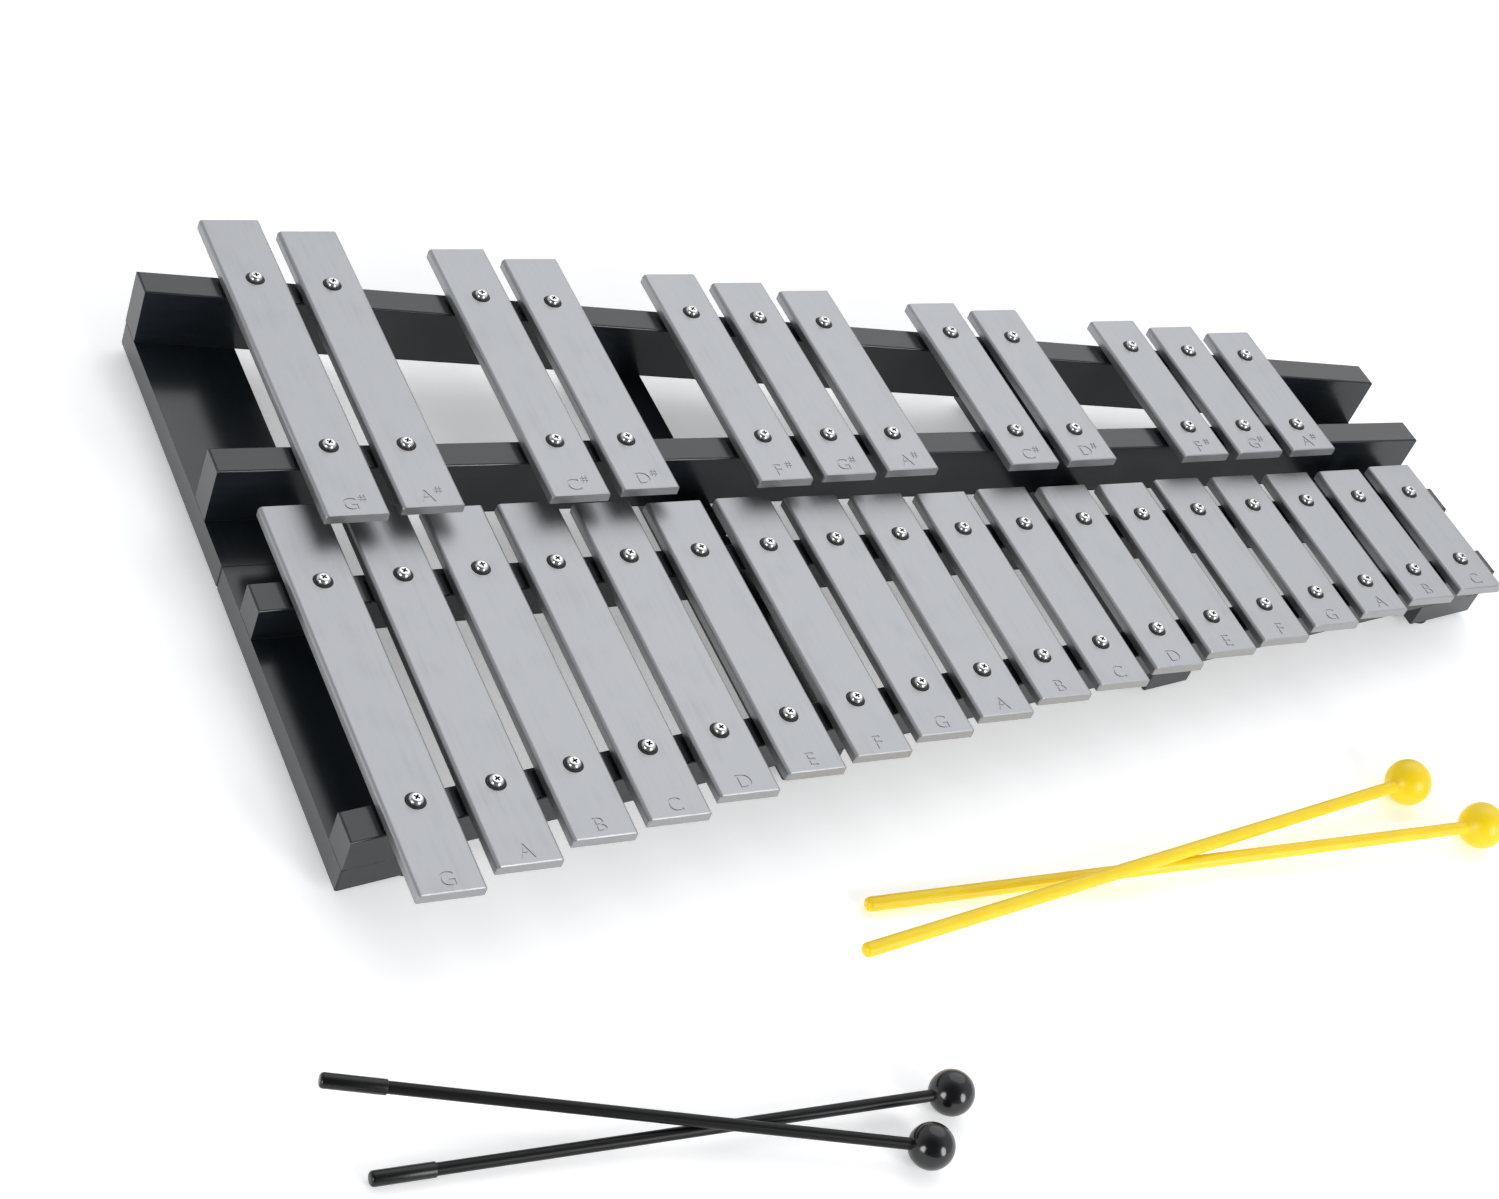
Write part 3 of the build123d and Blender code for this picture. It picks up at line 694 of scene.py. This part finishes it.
neck_angle = math.degrees(math.asin(YELLOW_NECK / YELLOW_BALL))
yellow_profile = [(0, 0)]
yellow_profile += rounded(
    (YELLOW_HANDLE - YELLOW_END_ROUND, YELLOW_END_ROUND), YELLOW_END_ROUND, -90, 0, 6,
)
neck_height = YELLOW_LENGTH - math.sqrt(YELLOW_BALL ** 2 - YELLOW_NECK ** 2)
yellow_profile += [
    (YELLOW_NECK, neck_height - YELLOW_NECK_ROUND),
    (YELLOW_NECK + 0.08 * MM, neck_height - 0.35 * YELLOW_NECK_ROUND),
    (YELLOW_NECK + 0.30 * MM, neck_height - 0.02 * MM),
]
yellow_profile += rounded((0, YELLOW_LENGTH), YELLOW_BALL, neck_angle - 84, 90, 30)
yellow_mallet = turned("yellow_mallet", yellow_profile, BALL_SEGMENTS)
for side in (-1, 1):
    take(yellow_mallet, lambda p: abs(p.y) < NEARLY and p.x * side > YELLOW_NECK * RIM_SHARE)
    bpy.ops.transform.translate(value=(side * MOULD_RIDGE, 0, 0))
only(yellow_mallet)
for node, rising in (("yellow_lower_mallet", False), ("yellow_upper_mallet", True)):
    handle_end, ball = mallet_line(node, YELLOW_BALL, node, rising)
    mallet = lay_down(copy_of(yellow_mallet, f"{node}_moulded", (0, 0, 0)), handle_end, ball)
    finish_piece(mallet, node, yellow_plastic, [node])
bpy.data.objects.remove(yellow_mallet)


# ---- black mallets ----
# Two mallets with a glass-fibre rod, a vinyl sleeve dipped on one end for the fingers and a hard
# polished ball glued on the other.
BLACK_BALL = 8.15 * MM
ROD_RADIUS = 2.1 * MM
GRIP_RADIUS = 2.6 * MM
GRIP_LENGTH = 21.5 * MM
GRIP_END_ROUND = 1.2 * MM
GRIP_MOUTH_ROUND = 0.3 * MM
GRIP_WALL = 2.0 * MM
BLACK_LENGTH = 208.0 * MM
BALL_BORE = 7.0 * MM
FIT = 0.05 * MM
ROD_SEGMENTS = 32

# Cast phenolic, polished: near black, glossy, with a trace of haze.
polished_ball = bpy.data.materials.new("polished_black_phenolic")
polished_ball.use_nodes = True
place = add_node(polished_ball, "ShaderNodeTexCoord").outputs["Object"]
haze = add_node(
    polished_ball, "ShaderNodeTexNoise", {"Vector": place, "Scale": 1 / (2.5 * MM), "Detail": 3.0},
)
buffed = add_node(
    polished_ball, "ShaderNodeMapRange", {"Value": haze.outputs["Fac"], "To Min": 0.13, "To Max": 0.20},
)
body_tone = add_node(polished_ball, "ShaderNodeValToRGB", {"Fac": haze.outputs["Fac"]})
body_tone.color_ramp.elements[0].color = linear("#0b0b0c")
body_tone.color_ramp.elements[1].color = linear("#111112")
phenolic = polished_ball.node_tree.nodes["Principled BSDF"]
phenolic.inputs["IOR"].default_value = 1.55
polished_ball.node_tree.links.new(body_tone.outputs["Color"], phenolic.inputs["Base Color"])
polished_ball.node_tree.links.new(buffed.outputs["Result"], phenolic.inputs["Roughness"])

# Dipped vinyl: black, smooth and a little shiny, with faint ripples from the dip.
black_vinyl = bpy.data.materials.new("dipped_black_vinyl")
black_vinyl.use_nodes = True
place = add_node(black_vinyl, "ShaderNodeTexCoord").outputs["Object"]
ripple = add_node(
    black_vinyl, "ShaderNodeTexNoise", {"Vector": place, "Scale": 1 / (3 * MM), "Detail": 1.0},
)
vinyl_gloss = add_node(
    black_vinyl, "ShaderNodeMapRange", {"Value": ripple.outputs["Fac"], "To Min": 0.20, "To Max": 0.32},
)
ripple_height = add_node(
    black_vinyl, "ShaderNodeBump",
    {"Height": ripple.outputs["Fac"], "Strength": 0.15, "Distance": 0.1 * MM},
)
vinyl = black_vinyl.node_tree.nodes["Principled BSDF"]
vinyl.inputs["Base Color"].default_value = linear("#0a0a0a")
vinyl.inputs["Specular IOR Level"].default_value = 0.35
black_vinyl.node_tree.links.new(vinyl_gloss.outputs["Result"], vinyl.inputs["Roughness"])
black_vinyl.node_tree.links.new(ripple_height.outputs["Normal"], vinyl.inputs["Normal"])

# Pultruded glass fibre, dyed black: satin, with fibre streaks a third of a millimetre wide along it.
fibre_rod = bpy.data.materials.new("black_glass_fibre")
fibre_rod.use_nodes = True
place = add_node(fibre_rod, "ShaderNodeTexCoord").outputs["Object"]
pulled = add_node(
    fibre_rod, "ShaderNodeMapping",
    {"Vector": place, "Scale": (1 / (30 * MM), 1 / (0.33 * MM), 1 / (0.33 * MM))},
)
fibres = add_node(
    fibre_rod, "ShaderNodeTexNoise", {"Vector": pulled.outputs["Vector"], "Scale": 1.0, "Detail": 2.0},
)
rod_gloss = add_node(
    fibre_rod, "ShaderNodeMapRange", {"Value": fibres.outputs["Fac"], "To Min": 0.28, "To Max": 0.42},
)
rod_tone = add_node(fibre_rod, "ShaderNodeValToRGB", {"Fac": fibres.outputs["Fac"]})
rod_tone.color_ramp.elements[0].color = linear("#080808")
rod_tone.color_ramp.elements[1].color = linear("#111111")
fibre = fibre_rod.node_tree.nodes["Principled BSDF"]
fibre.inputs["IOR"].default_value = 1.5
fibre.inputs["Specular IOR Level"].default_value = 0.22
fibre_rod.node_tree.links.new(rod_tone.outputs["Color"], fibre.inputs["Base Color"])
fibre_rod.node_tree.links.new(rod_gloss.outputs["Result"], fibre.inputs["Roughness"])

bore_end = BLACK_LENGTH - BLACK_BALL + BALL_BORE
rod_start = GRIP_WALL + FIT
rod_end = bore_end - FIT
rod_profile = [(0, rod_start), (ROD_RADIUS, rod_start), (ROD_RADIUS, rod_end), (0, rod_end)]
rod = turned("rod", rod_profile, ROD_SEGMENTS)
grip_profile = [(0, 0)]
grip_profile += rounded((GRIP_RADIUS - GRIP_END_ROUND, GRIP_END_ROUND), GRIP_END_ROUND, -90, 0, 5)
grip_profile += rounded(
    (GRIP_RADIUS - GRIP_MOUTH_ROUND, GRIP_LENGTH - GRIP_MOUTH_ROUND), GRIP_MOUTH_ROUND, 0, 90, 3,
)
grip_profile += [(ROD_RADIUS + FIT, GRIP_LENGTH), (ROD_RADIUS + FIT, GRIP_WALL), (0, GRIP_WALL)]
grip = turned("grip", grip_profile, ROD_SEGMENTS)
mouth_angle = math.degrees(math.asin((ROD_RADIUS + FIT) / BLACK_BALL))
ball_profile = [(0, bore_end), (ROD_RADIUS + FIT, bore_end)]
ball_profile += rounded((0, BLACK_LENGTH), BLACK_BALL, mouth_angle - 90, 90, 32)
ball_piece = turned("ball", ball_profile, BALL_SEGMENTS)
for mallet in ("black_lower_mallet", "black_upper_mallet"):
    handle_end, ball = mallet_line(f"{mallet}_head", BLACK_BALL, f"{mallet}_grip", False)
    for part, name, material, slot in (
        (rod, "rod", fibre_rod, "black_rods"),
        (grip, "grip", black_vinyl, "black_grips"),
        (ball_piece, "head", polished_ball, "black_heads"),
    ):
        laid = lay_down(copy_of(part, f"{mallet}_{name}_turned", (0, 0, 0)), handle_end, ball)
        finish_piece(laid, mallet, material, [f"{mallet}_{name}"])
for spent in (rod, grip, ball_piece):
    bpy.data.objects.remove(spent)


# ---- floor ----
# A white acrylic table top, lit a little from below as in a product studio, so that shadows stay
# pale. It isn't part of the instrument.
FLOOR_SIZE = 12
FLOOR_HEIGHT = -0.1 * MM

bpy.ops.object.select_all(action="DESELECT")
bpy.ops.mesh.primitive_plane_add(size=FLOOR_SIZE, location=(0, 0, FLOOR_HEIGHT))
floor = done(start_piece("floor"))
white_acrylic = bpy.data.materials.new("white_acrylic_table")
white_acrylic.use_nodes = True
acrylic = white_acrylic.node_tree.nodes["Principled BSDF"]
acrylic.inputs["Base Color"].default_value = linear("#fbfbfb")
acrylic.inputs["Roughness"].default_value = 0.9
acrylic.inputs["Specular IOR Level"].default_value = 0.0
acrylic.inputs["Emission Color"].default_value = linear("#ffffff")
acrylic.inputs["Emission Strength"].default_value = 0.32
floor.data.materials.append(white_acrylic)


# ---- light ----
# A white room that is bright behind the set and dim on the near side, a large soft light high behind
# it, and two soft boxes on the near side that show as pairs of highlights on the balls.
ROOM_BRIGHT = 0.85
ROOM_DIM = 0.12
NEAR_SIDE = Vector((-0.54, -0.53, 0.65))
OVERHEAD_DISTANCE = 1.9
BOX_DISTANCE = 1.7

room = bpy.data.worlds.new("white_room")
room.use_nodes = True
way = add_node(room, "ShaderNodeTexCoord").outputs["Generated"]
nearness = add_node(
    room, "ShaderNodeVectorMath", {0: way, 1: NEAR_SIDE}, operation="DOT_PRODUCT",
)
dimming = add_node(
    room, "ShaderNodeMapRange",
    {
        "Value": nearness.outputs["Value"], "From Min": 0.2, "From Max": 0.95,
        "To Min": ROOM_BRIGHT, "To Max": ROOM_DIM,
    },
    interpolation_type="SMOOTHSTEP",
)
air = room.node_tree.nodes["Background"]
air.inputs["Color"].default_value = linear("#f4f7fc")
room.node_tree.links.new(dimming.outputs["Result"], air.inputs["Strength"])
bpy.context.scene.world = room
bpy.context.scene.view_settings.view_transform = "Standard"


def soft_box(name, way, distance, width, height, watts):
    """A soft light that faces the middle of the set, with rounded ends to its highlight."""
    data = bpy.data.lights.new(name, "AREA")
    data.shape = "ELLIPSE"
    data.size = width
    data.size_y = height
    data.energy = watts
    lamp = bpy.data.objects.new(name, data)
    lamp.location = Vector(way).normalized() * distance
    lamp.rotation_euler = Vector(way).to_track_quat("Z", "Y").to_euler()
    bpy.context.scene.collection.objects.link(lamp)


near_turn = camera.rotation_euler.to_matrix()
soft_box("overhead_light", (0.45, 0.55, 0.85), OVERHEAD_DISTANCE, 2.3, 2.3, 12)
soft_box("left_box", near_turn @ Vector((-0.65, -0.20, 0.73)), BOX_DISTANCE, 0.62, 1.05, 15)
soft_box("right_box", near_turn @ Vector((0.73, -0.34, 0.59)), BOX_DISTANCE, 0.62, 1.05, 14)
